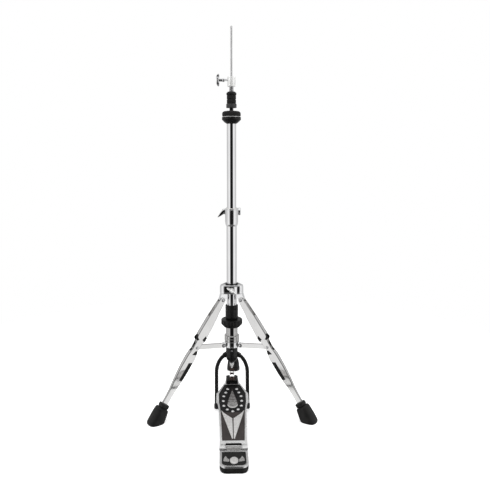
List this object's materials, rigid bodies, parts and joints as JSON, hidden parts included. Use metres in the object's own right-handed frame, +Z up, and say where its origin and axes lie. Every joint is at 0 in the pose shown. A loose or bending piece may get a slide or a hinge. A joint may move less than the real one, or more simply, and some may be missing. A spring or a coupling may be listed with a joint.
{
  "type": "hi-hat stand",
  "caption": "Hi-hat cymbal stand with a folding double-braced tripod, telescoping column, pull rod with clutch, and a chain-driven foot pedal.",
  "frame": {"origin": "on the floor, at the middle of the footprint's bounding box", "axes": "+Z up along the column; -Y towards the player, where the pedal's heel is; +X to the player's right as the player faces the stand"},
  "size_m": [0.467, 0.6258, 1.05],
  "materials": {
    "chrome": "polished chrome plate",
    "bright_steel": "plain bright steel",
    "cast_aluminium": "satin cast aluminium",
    "black_paint": "black powder coat",
    "black_plastic": "black moulded plastic",
    "white_nylon": "natural nylon",
    "felt": "dense black felt",
    "rubber": "black rubber",
    "panel": "dark grey printed panel"
  },
  "bodies": {
    "base": {"base_tube": "chrome", "height_collar": "chrome", "collar_bush": "white_nylon", "collar_bolt": "chrome", "spring_housing": "black_plastic", "spring_tube": "chrome", "brace_hub": "chrome", "return_spring": "bright_steel", "frame_yoke": "black_paint", "yoke_screw": "bright_steel", "frame_rod_left": "black_paint", "frame_rod_right": "black_paint", "radius_bar_left": "black_paint", "radius_bar_right": "black_paint", "heel_plate": "cast_aluminium", "heel_panel": "panel", "heel_base": "rubber", "heel_hinge_pin": "bright_steel", "front_right_brace_rivet": "bright_steel", "back_brace_rivet": "bright_steel", "front_left_brace_rivet": "bright_steel"},
    "tripod_hub": {"tripod_hub": "chrome", "hub_bush": "black_plastic", "front_right_leg_rivet": "bright_steel", "back_leg_rivet": "bright_steel", "front_left_leg_rivet": "bright_steel"},
    "hub_bolt": {"hub_wing_bolt": "chrome"},
    "upper_column": {"upper_tube": "chrome", "seat_cup": "black_plastic", "seat_washer": "bright_steel", "seat_felt": "felt"},
    "collar_nut": {"collar_wing_nut": "chrome"},
    "tension_knob": {"tension_knob": "black_plastic"},
    "pull_rod": {"upper_pull_rod": "chrome", "lower_pull_rod": "bright_steel", "rod_connector": "chrome", "spring_collar": "bright_steel", "chain_pin": "bright_steel"},
    "clutch": {"clutch_tube": "chrome", "clutch_top_nut": "black_plastic", "clutch_upper_felt": "felt", "clutch_lower_felt": "felt", "clutch_bottom_nut": "black_plastic"},
    "clutch_bolt": {"clutch_wing_bolt": "chrome"},
    "footboard": {"footboard": "cast_aluminium", "footboard_panel": "panel", "toe_clamp": "black_paint"},
    "chain": {"drive_chain": "bright_steel"},
    "front_right_leg": {"front_right_leg_strip_left": "chrome", "front_right_leg_strip_right": "chrome", "front_right_leg_foot": "rubber"},
    "front_right_brace": {"front_right_brace": "chrome"},
    "back_leg": {"back_leg_strip_left": "chrome", "back_leg_strip_right": "chrome", "back_leg_foot": "rubber"},
    "back_brace": {"back_brace": "chrome"},
    "front_left_leg": {"front_left_leg_strip_left": "chrome", "front_left_leg_strip_right": "chrome", "front_left_leg_foot": "rubber"},
    "front_left_brace": {"front_left_brace": "chrome"}
  },
  "joints": [
    {"name": "height_slide", "type": "slide", "parent": "base", "child": "upper_column", "axis": [0, 0, 1], "range_m": [-0.14, 0.06]},
    {"name": "collar_nut_turn", "type": "hinge", "parent": "base", "child": "collar_nut", "pos_m": [0, 0.0726, 0.56], "axis": [1, 0, 0], "range_deg": [-180, 180]},
    {"name": "clutch_slide", "type": "slide", "parent": "upper_column", "child": "clutch", "axis": [0, 0, 1], "range_m": [0, 0.08]},
    {"name": "clutch_bolt_turn", "type": "hinge", "parent": "clutch", "child": "clutch_bolt", "pos_m": [0, 0.0491, 0.913], "axis": [1, 0, 0], "range_deg": [-180, 180]},
    {"name": "tension_knob_turn", "type": "hinge", "parent": "base", "child": "tension_knob", "pos_m": [0, 0.0491, 0.2425], "axis": [0, 0, 1], "range_deg": [-270, 270]},
    {"name": "tripod_fold", "type": "slide", "parent": "base", "child": "tripod_hub", "axis": [0, 0, 1], "range_m": [0, 0.09512]},
    {"name": "hub_bolt_turn", "type": "hinge", "parent": "tripod_hub", "child": "hub_bolt", "pos_m": [0, 0.032, 0.3445], "axis": [0, 1, 0], "range_deg": [-180, 180]},
    {"name": "footboard_pivot", "type": "hinge", "parent": "base", "child": "footboard", "pos_m": [0, -0.2359, 0.0175], "axis": [-1, 0, 0], "range_deg": [0, 6.6], "stiffness_Nm_per_rad": 60, "springref_deg": -7.45},
    {"name": "pull_rod_slide", "type": "slide", "parent": "base", "child": "pull_rod", "axis": [0, 0, 1], "range_m": [-0.0293, 0], "deforming": ["return_spring"]},
    {"name": "chain_swing", "type": "hinge", "parent": "pull_rod", "child": "chain", "pos_m": [0, 0.0491, 0.11], "axis": [1, 0, 0], "range_deg": [0, 11.2]},
    {"name": "front_right_leg_hinge", "type": "hinge", "parent": "tripod_hub", "child": "front_right_leg", "pos_m": [0.02789, 0.033, 0.3146], "axis": [0.5, 0.866, 0], "range_deg": [0, 24.21]},
    {"name": "front_right_brace_hinge", "type": "hinge", "parent": "base", "child": "front_right_brace", "pos_m": [0.02511, 0.0346, 0.1796], "axis": [-0.5, -0.866, 0], "range_deg": [0, 63.29]},
    {"name": "back_leg_hinge", "type": "hinge", "parent": "tripod_hub", "child": "back_leg", "pos_m": [0.00112, 0.08128, 0.3146], "axis": [-0.9994, 0.0349, 0], "range_deg": [0, 24.21]},
    {"name": "back_brace_hinge", "type": "hinge", "parent": "base", "child": "back_brace", "pos_m": [0.00101, 0.07808, 0.1796], "axis": [0.9994, -0.0349, 0], "range_deg": [0, 63.29]},
    {"name": "front_left_leg_hinge", "type": "hinge", "parent": "tripod_hub", "child": "front_left_leg", "pos_m": [-0.02789, 0.033, 0.3146], "axis": [0.5, -0.866, 0], "range_deg": [0, 24.21]},
    {"name": "front_left_brace_hinge", "type": "hinge", "parent": "base", "child": "front_left_brace", "pos_m": [-0.02511, 0.0346, 0.1796], "axis": [-0.5, 0.866, 0], "range_deg": [0, 63.29]}
  ],
  "couplings": [
    {"joint": "pull_rod_slide", "follows": "footboard_pivot", "m_per_rad": -0.25272},
    {"joint": "chain_swing", "follows": "footboard_pivot", "ratio": 1.6683},
    {"joint": "front_right_leg_hinge", "follows": "tripod_fold", "rad_per_m": 4.433},
    {"joint": "front_right_brace_hinge", "follows": "tripod_fold", "rad_per_m": 11.603},
    {"joint": "back_leg_hinge", "follows": "tripod_fold", "rad_per_m": 4.433},
    {"joint": "back_brace_hinge", "follows": "tripod_fold", "rad_per_m": 11.603},
    {"joint": "front_left_leg_hinge", "follows": "tripod_fold", "rad_per_m": 4.433},
    {"joint": "front_left_brace_hinge", "follows": "tripod_fold", "rad_per_m": 11.603}
  ]
}
